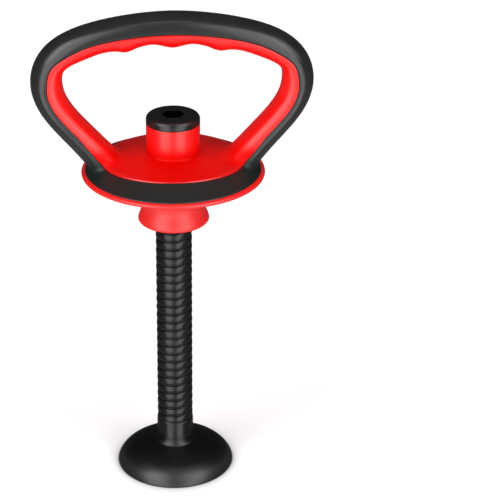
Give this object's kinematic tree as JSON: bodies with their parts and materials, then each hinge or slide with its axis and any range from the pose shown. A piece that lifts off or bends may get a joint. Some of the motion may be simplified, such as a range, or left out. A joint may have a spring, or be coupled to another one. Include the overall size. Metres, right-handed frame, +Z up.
{
  "type": "plate loading kettlebell handle",
  "caption": "Plate-loading kettlebell: D-shaped red and black loop handle on a disc with a flared collar, screwed on a coarse-threaded post with a domed foot.",
  "frame": {"origin": "on the floor under the axis of the post", "axes": "+Z up along the post; the loop of the handle lies in the XZ plane, so X is along the grip and Y is front to back"},
  "size_m": [0.2038, 0.135, 0.3693],
  "materials": {
    "red_plastic": "semi-gloss moulded red plastic",
    "black_grip": "satin soft-touch black grip",
    "black_plastic": "semi-gloss moulded black plastic",
    "steel": "zinc-plated steel",
    "nut_plastic": "natural acetal plastic",
    "pad_rubber": "matt black rubber"
  },
  "bodies": {
    "stand": {"threaded_post": "black_plastic", "core_tube": "steel", "tube_nut": "steel", "end_plug": "black_plastic", "base_foot": "black_plastic", "base_plate": "steel", "plate_screws": "steel", "foot_pad": "pad_rubber", "base_bolt": "steel", "lock_washer": "steel", "clamp_washer": "steel"},
    "carriage": {"thrust_washer": "nut_plastic"},
    "handle": {"handle_frame": "red_plastic", "grip_overmould": "black_grip", "lower_flange": "red_plastic", "flange_screws": "steel", "drive_nut": "nut_plastic", "hub_cap": "black_plastic", "retaining_ring": "steel"}
  },
  "joints": [
    {"name": "handle_lift", "type": "slide", "parent": "stand", "child": "carriage", "axis": [0, 0, 1], "range_m": [-0.0444, 0.0138]},
    {"name": "handle_turn", "type": "hinge", "parent": "carriage", "child": "handle", "pos_m": [0, 0, 0.2056], "axis": [0, 0, 1], "range_deg": [-2340, 720]}
  ],
  "couplings": [
    {"joint": "handle_lift", "follows": "handle_turn", "m_per_rad": 0.0010823}
  ]
}
